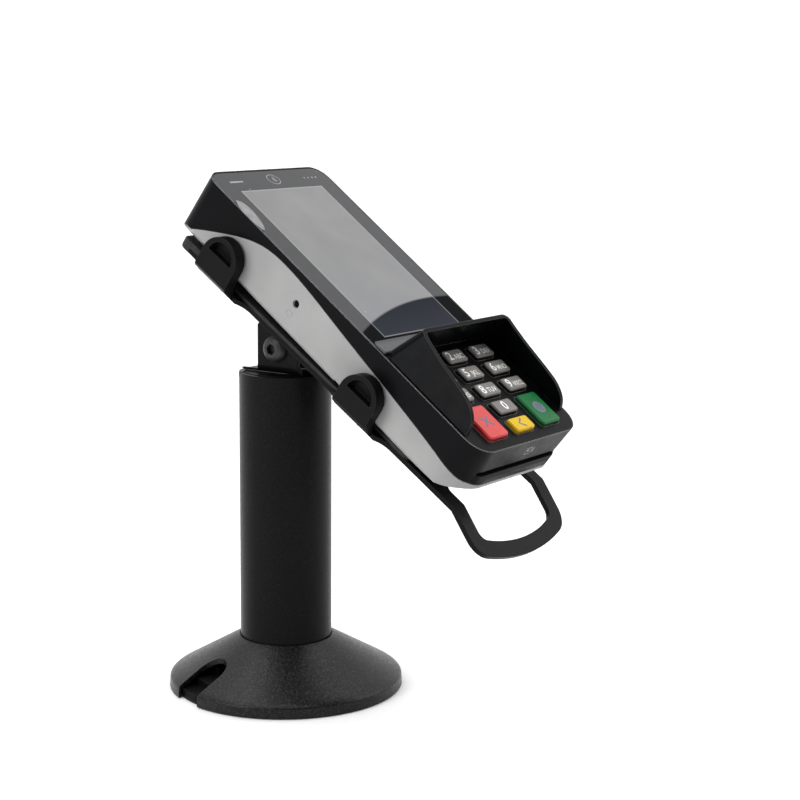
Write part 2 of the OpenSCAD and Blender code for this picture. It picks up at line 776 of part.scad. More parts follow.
// ---------------------------------------------------------------- keys

// one key: cap through the face, and a wider skirt under it
module key_body(x, v, h, r) {
    in_face() translate([x, v, 0]) {
        slab(key_w, h, r, -2.9, key_proud - 0.5);
        translate([0, 0, key_proud - 0.5 - e]) linear_extrude(0.5 + e)
            round_rect(key_w - 0.5, h - 0.5, r - 0.2);
        slab(key_w + 1.5, h + 1.5, r + 0.6, -3.4, -2.3);
    }
}

module digit(row, col) { color("#5d5954") key_body(col * key_dx, key_v(row), key_h, 1.2); }
module key_1() { digit(0, -1); }
module key_2() { digit(0, 0); }
module key_3() { digit(0, 1); }
module key_4() { digit(1, -1); }
module key_5() { digit(1, 0); }
module key_6() { digit(1, 1); }
module key_7() { digit(2, -1); }
module key_8() { digit(2, 0); }
module key_9() { digit(2, 1); }
module key_0() { digit(3, 0); }
module key_correct() { color("#e2bb12") key_body(0, key_v(4), key_h, 1.2); }
module key_cancel() { color("#dd5a5e") key_body(-key_dx, tall_v, tall_h, 1.4); }
module key_confirm() { color("#17803a") key_body(key_dx, tall_v, tall_h, 1.4); }

// ---------------------------------------------------------------- inside the terminal

module keypad_mat() {
    color("#d9d7d0") in_face() difference() {
        translate([0, (key_v(0) + key_v(4)) / 2, 0]) slab(60, 46, 3, mat_n - 1.4, mat_n);
        for (s = [-1, 1]) translate([s * 28, key_v(4) + 2, -12]) cylinder(r = 1.5, h = 9);
    }
}

module main_board() {
    color("#1f5c3a") in_face() difference() {
        union() {
            translate([0, -66, 0]) slab(66, 142, 4, board_n, board_n + 1.6);
            translate([-22, -30, board_n - 2]) cube([16, 16, 2.1]);
            translate([4, -52, board_n - 1.4]) cube([22, 12, 1.5]);
            translate([-8, -72, board_n - 3]) cube([12, 12, 3.1]);
        }
        for (p = boss_uv) translate([p[0], p[1], -20]) cylinder(r = 3.3, h = 20);
    }
}

// chip card reader behind the slot
module card_reader() {
    color("#222326") in_face() difference() {
        translate([-30, front_v + 5.2, jaw_n - slot_h - 2.2]) cube([60, 44, 5.2]);
        translate([-27.35, front_v + 2, jaw_n - slot_h + 0.1]) cube([54.7, 45, 1.2]);
    }
}

// contactless aerial round the screen
module antenna() {
    color("#b07a3a") in_face() translate([0, -screen_h / 2, 0]) difference() {
        slab(56, 84, 3, -5.4, -4.7);
        slab(44, 72, 2, -8, 0);
    }
}

module speaker() {
    color("#2a2a2c") in_face() translate([14, -22, under(-22) + wall + 1]) {
        cylinder(r = 8, h = 3.4);
        translate([0, 0, 3.4 - e]) cylinder(r = 6, h = 1.2);
    }
}

module usb_socket() {
    color("#a7aaad") in_face() translate([0, top_v - 9.2, -17]) rotate([-90, 0, 0])
        difference() {
            linear_extrude(7.3) round_rect(8.9, 3.2, 1.5);
            translate([0, 0, 1]) linear_extrude(9) round_rect(8.3, 2.6, 1.25);
        }
}

module power_button() {
    color("#141415") in_face() translate([-tw + 1.3, btn_v, btn_n]) rotate([0, 90, 0]) {
        cylinder(r = btn_r - 0.15, h = 2.2);
        translate([0, 0, 1.2]) cylinder(r = 2.25, h = 1);
    }
}

base_pad();
base_plate();
pole_flange();
flange_screws();
base_cover();
cover_ring();
pole_tube();
swivel_core();
core_screws();
swivel_washer();
tilt_yoke();
swivel_spring();
swivel_nut();
pivot_bolt();
pivot_nut();
pivot_washers();
tilt_knuckle();
knuckle_screws();
tilt_plate();
cradle_plate();
plate_screws();
cradle_mat();
clip_upper_right();
clip_lower_right();
clip_upper_left();
clip_lower_left();
clip_screws();
clip_nuts();
clip_liners();
top_case();
rear_shell();
case_screws();
display_glass();
display_panel();
film_tab();
privacy_shield();
key_1();
key_2();
key_3();
key_4();
key_5();
key_6();
key_7();
key_8();
key_9();
key_0();
key_correct();
key_cancel();
key_confirm();
keypad_mat();
main_board();
card_reader();
antenna();
speaker();
usb_socket();
power_button();
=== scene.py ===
import json
import math

import bmesh
import bpy
from mathutils import Matrix, Vector


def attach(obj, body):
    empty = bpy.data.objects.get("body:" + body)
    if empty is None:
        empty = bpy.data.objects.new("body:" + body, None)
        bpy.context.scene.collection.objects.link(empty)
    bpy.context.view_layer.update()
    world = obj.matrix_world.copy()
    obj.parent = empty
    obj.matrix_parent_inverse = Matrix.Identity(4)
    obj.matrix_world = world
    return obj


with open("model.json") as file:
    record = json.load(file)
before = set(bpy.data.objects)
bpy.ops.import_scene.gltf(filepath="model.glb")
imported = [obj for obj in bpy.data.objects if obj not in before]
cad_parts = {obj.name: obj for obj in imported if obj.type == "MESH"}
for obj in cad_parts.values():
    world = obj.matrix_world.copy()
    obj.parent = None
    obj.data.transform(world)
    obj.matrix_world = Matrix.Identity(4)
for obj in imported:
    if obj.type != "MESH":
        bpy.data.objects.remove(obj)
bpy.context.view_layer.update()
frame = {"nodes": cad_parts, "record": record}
nodes = frame["nodes"]

MM = 0.001
HEAD_AT = (0, -0.004, 0.142)    # origin of the cradle plate's frame, in metres
TILT = math.radians(34.8)       # cradle plate above level
WEDGE = math.radians(2.0)       # terminal's face above the plate
FACE_AT = (0, 43.4, 49.2)       # picture area's upper edge from that origin, in mm along the face's axes

# on the face, in mm across and up from the middle of that edge
SCREEN_HALF = 26.15             # half the picture area's width
SCREEN_LOW = -87.1              # its lower edge

KEY_TOP = 1.8                   # key tops above the face
KEY_U, KEY_PITCH = 19.0, 9.5    # pitch across and down the keypad
KEY_V = [-103.9 - KEY_PITCH * i for i in range(5)]
TALL_V = (KEY_V[3] + KEY_V[4]) / 2      # middle of the two tall keys
INK_AT = KEY_TOP + 0.01         # underside of the keys' legends
GLASS_INK = -0.07               # underside of the marks on the glass

CAMERA_AT = (-0.59049, -0.46768, 0.25037)
CAMERA_ROLL = math.radians(0.42)
FORWARD = Vector((0.80934, 0.56230, -0.16969)).normalized()     # the way the camera looks

# from the cradle plate's frame, in mm, to the world
HEAD = Matrix.Translation(HEAD_AT) @ Matrix.Rotation(TILT, 4, "X") @ Matrix.Scale(MM, 4)
# from (across, up the face, out of the face), in mm, to the world
FACE = HEAD @ Matrix.Rotation(WEDGE, 4, "X") @ Matrix.Translation(FACE_AT)


# ---------------------------------------------------------------- materials

PLASTIC_EDGE, COAT_EDGE = 0.0004, 0.0005    # radius of the softened edges, in metres


class Mat:
    """A node material, with short helpers for its procedural parts.

    Positions are in world metres, or in mm along the frame that place maps from.
    """

    def __init__(self, name, place=None):
        self.m = bpy.data.materials.new(name)
        self.m.use_nodes = True
        self.t = self.m.node_tree
        self.t.nodes.clear()
        self.out = self.n("ShaderNodeOutputMaterial")
        self.b = self.n("ShaderNodeBsdfPrincipled")
        self.link(self.b.outputs[0], self.out.inputs[0])
        coord = self.n("ShaderNodeTexCoord")
        self.pos = coord.outputs["Object"]
        if place is not None:
            self.pos = self.local(self.pos, place)

    @classmethod
    def over(cls, material):
        """The helper round a material that has its nodes already."""
        m = cls.__new__(cls)
        m.m, m.t = material, material.node_tree
        m.b = next(n for n in m.t.nodes if n.type == "BSDF_PRINCIPLED")
        m.pos = next(n for n in m.t.nodes if n.type == "TEX_COORD").outputs["Object"]
        return m

    def n(self, kind, **props):
        node = self.t.nodes.new(kind)
        for k, v in props.items():
            setattr(node, k, v)
        return node

    def link(self, a, b):
        self.t.links.new(a, b)

    def local(self, pos, place):
        """World position to the frame that place maps from, in mm."""
        inv = place.inverted()
        rows = []
        for i in range(3):
            dot = self.n("ShaderNodeVectorMath", operation="DOT_PRODUCT")
            self.link(pos, dot.inputs[0])
            dot.inputs[1].default_value = inv[i][:3]
            rows.append(self.math("ADD", dot.outputs["Value"], inv[i][3]))
        comb = self.n("ShaderNodeCombineXYZ")
        for i in range(3):
            self.link(rows[i], comb.inputs[i])
        return comb.outputs[0]

    def streak(self, length):
        """Position squeezed up the face, for marks that run that way."""
        x, y, z = self.xyz()
        comb = self.n("ShaderNodeCombineXYZ")
        self.link(x, comb.inputs[0])
        self.link(self.math("DIVIDE", y, length), comb.inputs[1])
        self.link(z, comb.inputs[2])
        return comb.outputs[0]

    def val(self, socket, v):
        if isinstance(v, (int, float)):
            socket.default_value = v
        elif isinstance(v, (tuple, list)):
            socket.default_value = tuple(v) + ((1.0,) if len(v) == 3 and socket.type == "RGBA" else ())
        else:
            self.link(v, socket)

    def math(self, op, a, b=0.0):
        node = self.n("ShaderNodeMath", operation=op)
        self.val(node.inputs[0], a)
        self.val(node.inputs[1], b)
        return node.outputs[0]

    def xyz(self, pos=None):
        sep = self.n("ShaderNodeSeparateXYZ")
        self.link(pos or self.pos, sep.inputs[0])
        return sep.outputs

    def noise(self, scale, detail=4.0, rough=0.55, pos=None, distort=0.0):
        node = self.n("ShaderNodeTexNoise")
        self.link(pos or self.pos, node.inputs["Vector"])
        node.inputs["Scale"].default_value = scale
        node.inputs["Detail"].default_value = detail
        node.inputs["Roughness"].default_value = rough
        node.inputs["Distortion"].default_value = distort
        return node.outputs["Fac"]

    def voronoi(self, scale):
        node = self.n("ShaderNodeTexVoronoi")
        self.link(self.pos, node.inputs["Vector"])
        node.inputs["Scale"].default_value = scale
        return node

    def ramp(self, fac, lo, hi, a=0.0, b=1.0):
        """Runs from a to b while fac runs from lo to hi, and stays there beyond."""
        node = self.n("ShaderNodeMapRange", clamp=True)
        self.val(node.inputs["Value"], fac)
        for k, v in (("From Min", lo), ("From Max", hi), ("To Min", a), ("To Max", b)):
            self.val(node.inputs[k], v)
        return node.outputs["Result"]

    def mix(self, fac, a, b):
        """Colour a, turning to b as fac rises. A Mix node's colours are its sockets 6, 7 and 2."""
        node = self.n("ShaderNodeMix", data_type="RGBA")
        self.val(node.inputs[0], fac)
        self.val(node.inputs[6], a)
        self.val(node.inputs[7], b)
        return node.outputs[2]

    def bevel(self, radius):
        node = self.n("ShaderNodeBevel", samples=4)
        node.inputs["Radius"].default_value = radius
        return node.outputs[0]

    def rim(self, radius):
        """1 on sharp outer and inner edges, 0 on flats."""
        bev = self.bevel(radius)
        geo = self.n("ShaderNodeNewGeometry")
        dot = self.n("ShaderNodeVectorMath", operation="DOT_PRODUCT")
        self.link(bev, dot.inputs[0])
        self.link(geo.outputs["Normal"], dot.inputs[1])
        return self.ramp(dot.outputs["Value"], 0.999, 0.9, 0.0, 1.0)

    def bump(self, height, strength, distance, radius=None):
        node = self.n("ShaderNodeBump")
        node.inputs["Strength"].default_value = strength
        node.inputs["Distance"].default_value = distance
        self.link(height, node.inputs["Height"])
        if radius:
            self.link(self.bevel(radius), node.inputs["Normal"])
        self.link(node.outputs[0], self.b.inputs["Normal"])

    def set(self, **kw):
        for k, v in kw.items():
            self.val(self.b.inputs[k.replace("_", " ")], v)


def moulded(name, colour, rough, grain=2600, depth=0.25, wear_and_highlight=None, spec=0.5, dust=0.0, lit=None):
    """Moulded plastic: fine spark-eroded grain, faint mottling, slightly polished edges lightened partly as
    wear and partly as a painted highlight, an optional painted highlight along the case's upper edge, a
    little dust.
    """
    m = Mat(name)
    fine = m.noise(grain, 3, 0.6)
    wide = m.noise(45, 3, 0.5)
    c = m.mix(m.ramp(wide, 0.3, 0.7), [x * 0.9 for x in colour], [min(1, x * 1.1) for x in colour])
    edge = m.rim(PLASTIC_EDGE)
    # lighter edges: partly wear, partly a painted highlight where light catches the rounded edges
    c = m.mix(m.math("MULTIPLY", edge, 0.6), c, wear_and_highlight or [min(1, x * 1.6 + 0.006) for x in colour])
    if lit:
        # painted highlight: a bright line along the case's upper edge, where light catches it
        v, n = m.xyz(m.local(m.pos, FACE))[1:]
        up = m.math("MULTIPLY", m.ramp(n, -1.0, -0.4), m.ramp(v, 10.5, 9.0))
        c = m.mix(m.math("MULTIPLY", m.ramp(m.rim(0.0006), 0.05, 0.5), up), c, lit)
    if dust:
        cell = m.voronoi(210)
        size = m.math("MULTIPLY", m.xyz(cell.outputs["Color"])[0], 0.1)
        speck = m.math("LESS_THAN", cell.outputs["Distance"], m.math("SUBTRACT", size, 0.09 - 0.02 * dust))
        c = m.mix(m.math("MULTIPLY", speck, 0.6), c, [0.3, 0.3, 0.31])
    r = m.ramp(m.noise(220, 4, 0.6), 0.25, 0.75, rough - 0.06, rough + 0.07)
    r = m.math("SUBTRACT", r, m.math("MULTIPLY", edge, 0.1))
    m.set(Base_Color=c, Roughness=r, Specular_IOR_Level=spec)
    m.bump(fine, depth, 0.00004, PLASTIC_EDGE)
    return m.m


def powder(name, colour, rough, scale, depth, grain, spec):
    """Powder coat: orange peel and pits, with painted glints for lighter peaks and painted shade for dark
    pits, as strong as grain.
    """
    m = Mat(name)
    peel = m.noise(scale, 2, 0.5)
    pits = m.voronoi(scale * 1.4).outputs["Distance"]
    height = m.math("ADD", m.math("MULTIPLY", peel, 0.7), m.math("MULTIPLY", pits, 0.5))
    c = m.mix(m.ramp(m.noise(30, 3, 0.5), 0.3, 0.7), [x * 0.88 for x in colour], [x * 1.12 for x in colour])
    c = m.mix(m.math("MULTIPLY", m.rim(COAT_EDGE), 0.5), c, [x * 1.8 + 0.012 for x in colour])
    r = m.ramp(m.noise(scale * 0.6, 3, 0.6), 0.3, 0.7, rough - 0.08, rough + 0.08)
    # painted highlight: lighter specks that stand for light glinting on the coat's peaks
    painted_peak_glint = m.ramp(m.noise(scale * 1.15, 3, 0.65), 0.5, 0.64)
    c = m.mix(m.math("MULTIPLY", painted_peak_glint, grain), c, [x * 2.6 + 0.024 for x in colour])
    # painted shade: darker where the peel dips, standing for shade in the pits
    c = m.mix(m.math("MULTIPLY", m.ramp(peel, 0.45, 0.3), grain), c, [x * 0.35 for x in colour])
    m.set(Base_Color=c, Roughness=r, Specular_IOR_Level=spec)
    m.bump(height, depth, 0.00009, COAT_EDGE)
    return m.m


def rubber(name, colour, rough=0.75):
    """Matt rubber: mottled tone and a soft grain."""
    m = Mat(name)
    c = m.mix(m.ramp(m.noise(120, 4, 0.6), 0.3, 0.7), [x * 0.85 for x in colour], [x * 1.25 for x in colour])
    m.set(Base_Color=c, Roughness=m.ramp(m.noise(400, 4), 0.3, 0.7, rough - 0.08, rough + 0.08))
    m.bump(m.noise(1800, 4), 0.35, 0.00008, 0.0004)
    return m.m


def steel(name, colour, rough=0.35, metallic=1.0):
    """Zinc-plated steel: spangle, fine scratches, dull patches."""
    m = Mat(name)
    spangle = m.voronoi(260)
    c = m.mix(m.ramp(m.xyz(spangle.outputs["Color"])[0], 0, 1), [x * 0.85 for x in colour], colour)
    scratch = m.noise(900, 2, 0.5, distort=1.5)
    r = m.ramp(scratch, 0.3, 0.7, rough - 0.08, rough + 0.12)
    m.set(Base_Color=c, Roughness=r, Metallic=metallic)
    m.bump(scratch, 0.15, 0.00003, 0.0003)
    return m.m


def board(name):
    """Circuit board: green lacquer over blocks of fine tracks."""
    m = Mat(name, FACE)
    lines = m.math("GREATER_THAN", m.math("FRACT", m.math("MULTIPLY", m.xyz()[0], 0.7)), 0.72)
    blocks = m.ramp(m.noise(0.12, 2), 0.48, 0.52)
    c = m.mix(m.math("MULTIPLY", lines, blocks), [0.015, 0.11, 0.05], [0.03, 0.2, 0.08])
    m.set(Base_Color=c, Roughness=m.ramp(m.noise(3, 3), 0.3, 0.7, 0.28, 0.4))
    m.bump(lines, 0.2, 0.00005)
    return m.m


def glass_face(name):
    """Cover glass over a black print with the unlit picture area behind it."""
    m = Mat(name, FACE)
    x, y = m.xyz()[:2]
    low = SCREEN_LOW
    from_side = m.math("SUBTRACT", SCREEN_HALF, m.math("ABSOLUTE", x))
    from_end = m.math("MINIMUM", m.math("SUBTRACT", 0.0, y), m.math("SUBTRACT", y, low))
    inside = m.math("MINIMUM", from_side, from_end)
    screen = m.ramp(inside, 0.0, 0.12)
    line = m.math("MULTIPLY", m.ramp(inside, 0.0, 0.15), m.ramp(inside, 0.75, 0.6))
    haze = m.noise(0.035, 2, 0.5)
    up_face = m.ramp(y, low, 0.0)
    lit = m.mix(up_face, [0.185, 0.192, 0.202], [0.155, 0.153, 0.151])
    lit = m.mix(m.ramp(haze, 0.3, 0.7), lit, [0.2, 0.2, 0.2])
    # painted shade: the lower end darker under a shallow arch, where the shield keeps the studio's reflection
    # off the glass; the gloss is lowered there too
    arch = m.math("ADD", m.math("MULTIPLY", m.math("MULTIPLY", x, x), -0.0036), low + 14.9)
    arch = m.math("ADD", arch, m.math("MULTIPLY", x, 0.16))
    shade = m.ramp(m.math("SUBTRACT", arch, y), -0.4, 0.6)
    lit = m.mix(shade, lit, m.mix(m.ramp(y, low, low + 18), [0.03, 0.034, 0.044], [0.017, 0.019, 0.026]))
    lit = m.mix(m.math("MULTIPLY", line, 0.55), lit, [0.3, 0.3, 0.31])
    border = m.mix(m.ramp(m.noise(0.2, 3), 0.3, 0.7), [0.008, 0.009, 0.011], [0.012, 0.013, 0.016])
    # the same painted shade darkens the border under the arch
    border = m.mix(shade, border, [0.003, 0.0033, 0.004])
    c = m.mix(screen, border, lit)
    # lint on the glass
    specks = m.voronoi(0.09)
    dot = m.ramp(specks.outputs["Distance"], 0.035, 0.02)
    c = m.mix(m.math("MULTIPLY", dot, 0.5), c, [0.6, 0.62, 0.65])
    smear = m.noise(0.08, 5, 0.6, distort=0.8)
    r = m.ramp(smear, 0.35, 0.75, 0.05, 0.16)
    m.set(Base_Color=c, Roughness=r, Specular_IOR_Level=m.ramp(shade, 0, 1, 0.5, 0.01))
    m.bump(m.noise(0.06, 2, 0.4), 0.04, 0.002)
    return m.m


def shield_face(mat):
    """Lightens the strip that runs from the shield down to the glass with a painted sheen, the reflection of
    the bright studio in its tilted foot.
    """
    m = Mat.over(mat)
    y, z = m.xyz(m.local(m.pos, FACE))[1:]
    painted_sheen_strip = m.math("MULTIPLY", m.ramp(z, 1.25, 1.15), m.ramp(y, -95.1, -94.8))
    painted_sheen_strip = m.math("MULTIPLY", painted_sheen_strip, m.ramp(y, -88.0, -91.0, 0.55, 1.0))
    socket = m.b.inputs["Base Color"]
    old = socket.links[0].from_socket
    # painted sheen on the shield's foot
    m.link(m.mix(painted_sheen_strip, old, [0.105, 0.106, 0.11]), socket)


def key_face(name, top, side):
    """A key cap: tinted top skin over a darker body."""
    m = Mat(name, FACE)
    up = m.ramp(m.xyz()[2], 1.05, 1.2)
    wide = m.noise(0.3, 3)
    t = m.mix(m.ramp(wide, 0.3, 0.7), [v * 0.93 for v in top], [min(1, v * 1.06) for v in top])
    edge = m.rim(0.0005)
    t = m.mix(m.math("MULTIPLY", edge, 0.35), t, [min(1, v * 1.35 + 0.02) for v in top])
    c = m.mix(up, side, t)
    m.set(Base_Color=c, Roughness=m.ramp(m.noise(1.2, 4), 0.3, 0.7, 0.36, 0.5), Specular_IOR_Level=0.22)
    m.bump(m.noise(5, 3), 0.15, 0.00004, 0.0005)
    return m.m


def film(name):
    """Cloudy film with streaks that run up the face."""
    m = Mat(name, FACE)
    n = m.noise(0.9, 3, pos=m.streak(3.0))
    c = m.mix(m.ramp(n, 0.35, 0.65), [0.17, 0.17, 0.175], [0.25, 0.25, 0.255])
    m.set(Base_Color=c, Roughness=m.ramp(n, 0.3, 0.7, 0.12, 0.25), Specular_IOR_Level=0.5)
    m.bump(n, 0.4, 0.0004)
    return m.m


M = {
    "base_coat": powder("base_coat", [0.0042, 0.0042, 0.0043], 0.34, 1150, 1.15, 0.85, 0.2),
    "pole_coat": powder("pole_coat", [0.003, 0.003, 0.0031], 0.34, 1700, 0.3, 0.2, 0.075),
    "head_coat": powder("head_coat", [0.0035, 0.0035, 0.0036], 0.36, 1700, 0.3, 0.12, 0.07),
    "steel_plate": powder("steel_plate", [0.003, 0.003, 0.0031], 0.5, 1500, 0.4, 0.2, 0.05),
    "bright_steel": steel("bright_steel", [0.5, 0.5, 0.51], 0.3),
    "dark_screw": steel("dark_screw", [0.022, 0.022, 0.024], 0.4, 0.35),
    "rubber": rubber("rubber", [0.0045, 0.0045, 0.0048]),
    "acetal": moulded("acetal", [0.02, 0.02, 0.02], 0.4, spec=0.3),
    "clip_plastic": moulded("clip_plastic", [0.004, 0.004, 0.0043], 0.4, 2300, 0.35, spec=0.08,
                            wear_and_highlight=[0.035, 0.035, 0.036]),
    "case_black": moulded("case_black", [0.003, 0.0031, 0.0038], 0.34, 2600, 0.22, spec=0.06, dust=1.0,
                          wear_and_highlight=[0.04, 0.04, 0.043], lit=[0.26, 0.26, 0.27]),
    "case_grey": moulded("case_grey", [0.292, 0.292, 0.29], 0.5, 2600, 0.2, spec=0.25,
                         wear_and_highlight=[0.47, 0.47, 0.465]),
    "shield": moulded("shield", [0.0025, 0.0027, 0.0034], 0.3, 2600, 0.18, spec=0.05, dust=1.0,
                      wear_and_highlight=[0.14, 0.14, 0.145]),
    "glass": glass_face("glass"),
    "display": moulded("display", [0.3, 0.31, 0.32], 0.3),
    "film": film("film"),
    "key_grey": key_face("key_grey", [0.19, 0.18, 0.17], [0.008, 0.008, 0.008]),
    "key_red": key_face("key_red", [0.6, 0.07, 0.07], [0.36, 0.012, 0.016]),
    "key_yellow": key_face("key_yellow", [0.66, 0.43, 0.006], [0.4, 0.25, 0.006]),
    "key_green": key_face("key_green", [0.003, 0.125, 0.03], [0.003, 0.06, 0.018]),
    "silicone": rubber("silicone", [0.04, 0.04, 0.042], 0.5),
    "board": board("board"),
    "copper": steel("copper", [0.7, 0.36, 0.16], 0.3),
}

shield_face(M["shield"])

slots = {s["node"]: s["material_slot"] for s in frame["record"]["subparts"]}


def paint(obj, material):
    mats = obj.data.materials
    if len(mats) == 0:
        mats.append(material)
    for i in range(len(mats)):
        mats[i] = material


for name, obj in nodes.items():
    paint(obj, M[slots[name]])


# ---------------------------------------------------------------- printed marks

def put(name, data):
    """An object in the scene for a mesh, curve, light or camera."""
    o = bpy.data.objects.new(name, data)
    bpy.context.scene.collection.objects.link(o)
    return o


def add_mesh(name, verts, faces, material, body):
    me = bpy.data.meshes.new(name)
    me.from_pydata([tuple(v) for v in verts], [], faces)
    me.validate()
    me.materials.append(material)
    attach(put(name, me), body)


def ink(name, colour):
    """Screen-printed ink with a slightly uneven tone."""
    m = Mat(name, FACE)
    uneven = m.ramp(m.noise(1.5, 3), 0.3, 0.7)
    c = m.mix(uneven, [v * 0.88 for v in colour], [min(1, v * 1.05) for v in colour])
    m.set(Base_Color=c, Roughness=0.5)
    m.bump(m.noise(6, 2), 0.1, 0.00003)
    return m.m


INK_WHITE = ink("ink_white", [0.86, 0.86, 0.85])
INK_BLUE = ink("ink_blue", [0.13, 0.13, 0.19])
INK_SOFT = ink("ink_soft", [0.3, 0.3, 0.31])
INK_DIM = ink("ink_confirm", [0.075, 0.12, 0.13])


def legend(name, text, size, u, v, body, span=9.0, weight=0.0):
    """White characters on a key, as thin raised ink, squeezed where they would pass the span."""
    cu = bpy.data.curves.new(name, "FONT")
    cu.body = text
    cu.size = size
    cu.align_x = "CENTER"
    cu.align_y = "CENTER"
    cu.extrude = 0.02
    cu.offset = weight
    cu.resolution_u = 6
    o = put(name, cu)
    bpy.context.view_layer.update()
    me = bpy.data.meshes.new_from_object(o)
    bpy.data.objects.remove(o)
    across = [p.co.x for p in me.vertices]
    squeeze = min(1.0, span / (max(across) - min(across)))
    me.transform(FACE @ Matrix.Translation((u, v, INK_AT)) @ Matrix.Scale(squeeze, 4, (1, 0, 0)))
    me.materials.clear()
    me.materials.append(INK_WHITE)
    p = put(name, me)
    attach(p, body)


def stroke(name, points, width, n, material, body, closed=False, place=FACE):
    """A flat printed line through points on the face, or in the frame that place maps from."""
    pts = [Vector((x, y, 0)) for x, y in points]
    count = len(pts)
    verts, faces = [], []
    for i, p in enumerate(pts):
        if closed:
            d = pts[(i + 1) % count] - pts[i - 1]
        else:
            d = pts[min(i + 1, count - 1)] - pts[max(i - 1, 0)]
        d.normalize()
        side = Vector((-d.y, d.x, 0)) * width / 2
        for q, h in ((p - side, 0), (p - side, 0.03), (p + side, 0.03), (p + side, 0)):
            verts.append(place @ Vector((q.x, q.y, n + h)))
    last = count if closed else count - 1
    for i in range(last):
        a, b = 4 * i, 4 * ((i + 1) % count)
        for k in range(4):
            faces.append((a + k, a + (k + 1) % 4, b + (k + 1) % 4, b + k))
    if not closed:
        faces.append((0, 1, 2, 3))
        faces.append(tuple(4 * (count - 1) + k for k in (3, 2, 1, 0)))
    add_mesh(name, verts, faces, material, body)


def arc(u, v, ru, rv, a0, a1, count):
    """Points on an arc round (u, v), with the angles in degrees."""
    return [(u + ru * math.cos(math.radians(a0 + (a1 - a0) * i / count)),
             v + rv * math.sin(math.radians(a0 + (a1 - a0) * i / count))) for i in range(count + 1)]


DIGIT = 5.9                     # height of the digits
DIGIT_WEIGHT = 0.09             # how far their strokes are thickened
letters = {2: "ABC", 3: "DEF", 4: "GHI", 5: "JKL", 6: "MNO", 7: "PQRS", 8: "TUV", 9: "WXYZ"}
for d in range(10):
    row, col = ((d - 1) // 3, (d - 1) % 3 - 1) if d else (3, 0)
    u, v = KEY_U * col, KEY_V[row]
    body = f"press_key_{d}"
    # a digit with letters beside it stands left of the key's middle
    shift = 3.5 if d in letters else 0
    legend(f"digit_{d}", str(d), DIGIT, u - shift, v, body, weight=DIGIT_WEIGHT)
    if d in letters:
        legend(f"letters_{d}", letters[d], 3.5, u + 1.9, v - 0.75, body,
               span=5.0 + 0.4 * len(letters[d]), weight=0.015)

# a cross on the red key, a filled ring on the green key and an angle bracket on the yellow key
for i, k in enumerate((1, -1)):
    stroke(f"cancel_{i}", [(-KEY_U - 2.5, TALL_V - 2.5 * k), (-KEY_U + 2.5, TALL_V + 2.5 * k)], 0.95,
           INK_AT + 0.002 * i, INK_BLUE, "press_key_cancel")
stroke("confirm_ring", arc(KEY_U, TALL_V, 2.6, 2.6, 0, 350, 36)[:-1], 0.95, INK_AT, INK_BLUE,
       "press_key_confirm", closed=True)
FILL_R, FILL_N = 2.1, 24
turns = [2 * math.pi * i / FILL_N for i in range(FILL_N)]
add_mesh("confirm_fill", [FACE @ Vector((KEY_U + FILL_R * math.cos(a), TALL_V + FILL_R * math.sin(a),
                                         KEY_TOP + 0.02)) for a in turns],
         [tuple(range(FILL_N))], INK_DIM, "press_key_confirm")
stroke("correct_mark", [(1.3, KEY_V[4] + 2.1), (-1.6, KEY_V[4]), (1.3, KEY_V[4] - 2.1)], 0.9,
       INK_AT, INK_BLUE, "press_key_correct")

# plain marks printed under the top of the glass: a tap target in the middle, a dash and dots at the sides
TAP_V, DASH_V = 5.6, 5.4
stroke("tap_ring", arc(0, TAP_V, 3.4, 2.9, 0, 350, 40)[:-1], 0.35, GLASS_INK, INK_SOFT, "cradle", closed=True)
for i, r in enumerate((0.8, 1.5, 2.2)):
    stroke(f"tap_wave_{i}", arc(-1.1, TAP_V, r, r, -48, 48, 12), 0.34, GLASS_INK, INK_SOFT, "cradle")
stroke("maker_dash", [(-27.5, DASH_V), (-19.5, DASH_V)], 0.9, GLASS_INK, INK_SOFT, "cradle")
for i in range(4):
    stroke(f"lamp_{i}", arc(20 + 2.6 * i, DASH_V, 0.35, 0.35, 0, 340, 12)[:-1], 0.3, GLASS_INK, INK_SOFT,
           "cradle", closed=True)

# card sign on the keypad end, over the slot
FRONT = FACE @ Matrix.Translation((2.5, -150.0, -5.9)) @ Matrix.Rotation(math.radians(90), 4, "X")
card = [(-2.6, -1.6), (1.2, -1.6), (1.2, 1.6), (-2.6, 1.6)]
stroke("card_sign", card, 0.3, 0.005, INK_SOFT, "cradle", closed=True, place=FRONT)
stroke("card_sign_chip", [(-1.6, 0.3), (-0.4, 0.3)], 0.8, 0.005, INK_SOFT, "cradle", place=FRONT)
for i, r in enumerate((1.1, 1.9)):
    stroke(f"card_sign_wave_{i}", arc(1.3, 0, r, r * 1.1, -42, 42, 10), 0.3, 0.005, INK_SOFT, "cradle",
           place=FRONT)

# raised ring in the left side of the rear shell, beside the recessed button
SIDE = FACE @ Matrix.Translation((-36.5, -52.5, -16.8)) @ Matrix.Rotation(math.radians(-90), 4, "Y")
stroke("shell_ring", arc(0, 0, 1.35, 1.35, 0, 350, 30)[:-1], 0.4, 0.0, M["case_grey"], "cradle", closed=True,
       place=SIDE)


# ---------------------------------------------------------------- rounded edges on CAD nodes

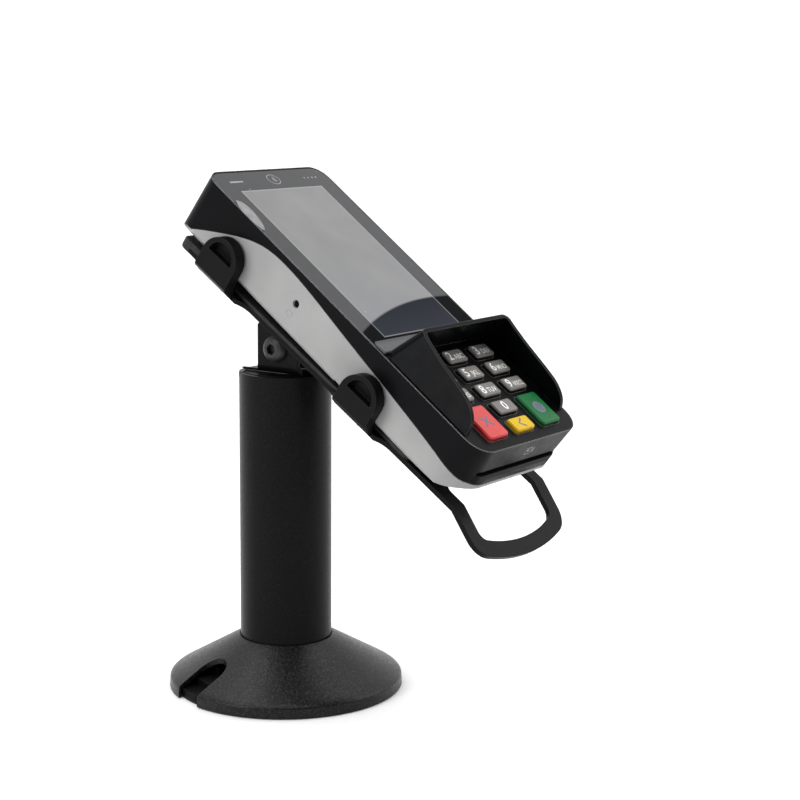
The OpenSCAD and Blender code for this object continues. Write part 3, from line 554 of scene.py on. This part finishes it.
def soften(name, width, segments=2):
    """Rounds a CAD node's sharp edges by width, in mm."""
    o = nodes[name]
    w = o.modifiers.new("weld", "WELD")
    w.merge_threshold = 1e-6
    d = o.modifiers.new("flat", "DECIMATE")
    d.decimate_type = "DISSOLVE"
    d.angle_limit = math.radians(0.6)
    b = o.modifiers.new("edge", "BEVEL")
    b.width = width * MM
    b.segments = segments
    b.limit_method = "ANGLE"
    b.angle_limit = math.radians(32)
    b.use_clamp_overlap = True
    b.harden_normals = False
    n = o.modifiers.new("normals", "WEIGHTED_NORMAL")
    n.keep_sharp = False


for name, width in (("privacy_shield", 0.4), ("clip_upper_right", 0.6), ("clip_lower_right", 0.6),
                    ("clip_upper_left", 0.6), ("clip_lower_left", 0.6), ("cradle_plate", 0.35),
                    ("tilt_yoke", 0.25), ("top_case", 0.35), ("rear_shell", 0.3)):
    soften(name, width)

for key in [*range(10), "correct", "cancel", "confirm"]:
    soften(f"key_{key}", 0.35, 3)


# ---------------------------------------------------------------- floor, light, camera

floor_mat = Mat("floor")
tone = floor_mat.mix(floor_mat.ramp(floor_mat.noise(3, 3), 0.3, 0.7), [0.9, 0.9, 0.9], [0.92, 0.92, 0.92])
floor_mat.set(Base_Color=tone, Roughness=0.8)
bm = bmesh.new()
bmesh.ops.create_grid(bm, x_segments=8, y_segments=8, size=6)
me = bpy.data.meshes.new("floor")
bm.to_mesh(me)
bm.free()
me.materials.append(floor_mat.m)
floor = put("floor", me)

# a white sweep behind the object that darkens toward the near side of the studio
world = bpy.data.worlds.new("studio")
bpy.context.scene.world = world
world.use_nodes = True
wt = world.node_tree
way = wt.nodes.new("ShaderNodeTexCoord")
dot = wt.nodes.new("ShaderNodeVectorMath")
dot.operation = "DOT_PRODUCT"
dot.inputs[1].default_value = FORWARD
wt.links.new(way.outputs["Generated"], dot.inputs[0])
fade = wt.nodes.new("ShaderNodeMapRange")
fade.interpolation_type = "SMOOTHSTEP"
for key, v in (("From Min", -0.7), ("From Max", 0.5), ("To Min", 0.12), ("To Max", 1.06)):
    fade.inputs[key].default_value = v
wt.links.new(dot.outputs["Value"], fade.inputs["Value"])
wt.links.new(fade.outputs["Result"], wt.nodes["Background"].inputs[1])
wt.nodes["Background"].inputs[0].default_value = (1, 1, 1, 1)


def area(name, at, to, size, power):
    """A square lamp at one point that faces another."""
    li = bpy.data.lights.new(name, "AREA")
    li.shape = "SQUARE"
    li.size = size
    li.energy = power
    o = put(name, li)
    o.location = at
    o.rotation_euler = (Vector(to) - Vector(at)).to_track_quat("-Z", "Y").to_euler()


area("left_light", (-1.4, 0.35, 0.75), (0, 0, 0.12), 0.9, 13)
area("right_light", (0.9, -0.9, 0.9), (0, 0, 0.1), 0.8, 5)

# broad even light from above
sun_data = bpy.data.lights.new("top_light", "SUN")
sun_data.energy = 2.4
sun_data.angle = math.radians(70)
put("top_light", sun_data)

cam_data = bpy.data.cameras.new("camera")
cam_data.sensor_width = 36
cam_data.lens = 83.36
cam_data.clip_start = 0.01
cam = put("camera", cam_data)
right = Vector((FORWARD.y, -FORWARD.x, 0)).normalized()
up = right.cross(FORWARD)
cosine, sine = math.cos(CAMERA_ROLL), math.sin(CAMERA_ROLL)
right, up = right * cosine + up * sine, up * cosine - right * sine
cam.matrix_world = Matrix.Translation(CAMERA_AT) @ Matrix((right, up, -FORWARD)).transposed().to_4x4()

scene = bpy.context.scene
scene.camera = cam
scene.view_settings.view_transform = "Standard"
scene.view_settings.look = "None"
scene.view_settings.exposure = 0.0
